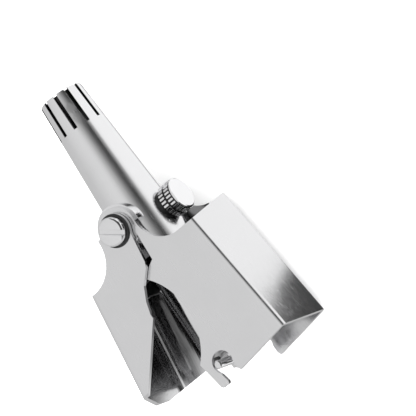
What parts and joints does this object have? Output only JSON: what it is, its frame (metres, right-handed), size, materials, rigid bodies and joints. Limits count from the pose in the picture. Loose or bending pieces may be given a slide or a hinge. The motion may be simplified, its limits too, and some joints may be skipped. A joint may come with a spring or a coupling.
{
  "type": "nose hair trimmer",
  "caption": "Squeeze-operated metal nose hair trimmer: slotted tapered barrel with an inner turning cutter, folded housing, pivoting lever and thumb screw.",
  "frame": {"origin": "centre of the bounding box in X and Y, at the level it lies on", "axes": "+Y along the barrel towards its tip, +X towards the housing and thumb screw, +Z towards the front plates"},
  "size_m": [0.0352, 0.0658, 0.0224],
  "materials": {
    "brushed": "fine brushed stainless steel",
    "polished": "polished stainless steel",
    "dull": "dull turned stainless steel",
    "brass": "turned brass"
  },
  "bodies": {
    "frame": {"barrel": "brushed", "housing": "brushed", "front_boss": "polished", "back_boss": "polished", "front_pivot_screw": "polished", "back_pivot_screw": "polished", "front_shim": "dull", "back_shim": "dull", "upper_bridge": "dull", "lower_bridge": "dull", "shaft_bush": "brass", "knob_seat": "dull"},
    "lever": {"lever": "brushed", "drive_arm": "dull", "arm_rivets": "polished", "spring_post": "dull", "return_spring": "polished"},
    "cutter": {"cutter": "dull", "cutter_shaft": "polished", "cutter_sleeve": "polished", "locating_collar": "dull", "drive_stud": "polished", "stop_pin": "polished", "retaining_ring": "dull"},
    "thumb_screw": {"knob": "polished", "knob_stem": "dull"}
  },
  "joints": [
    {"name": "lever_pivot", "type": "hinge", "parent": "frame", "child": "lever", "pos_m": [-0.00106, 0.00385, 0.01118], "axis": [0, 0, 1], "range_deg": [0, 12], "stiffness_Nm_per_rad": 0.12, "springref_deg": -8.59, "deforming": ["return_spring"]},
    {"name": "cutter_turn", "type": "hinge", "parent": "frame", "child": "cutter", "pos_m": [0.00044, 0.00365, 0.01118], "axis": [0, 1, 0], "range_deg": [0, 18.5]},
    {"name": "thumb_screw_turn", "type": "hinge", "parent": "frame", "child": "thumb_screw", "pos_m": [0.00644, 0.00305, 0.01118], "axis": [1, 0, 0], "continuous": true}
  ],
  "couplings": [
    {"joint": "cutter_turn", "follows": "lever_pivot", "ratio": 1.54}
  ]
}
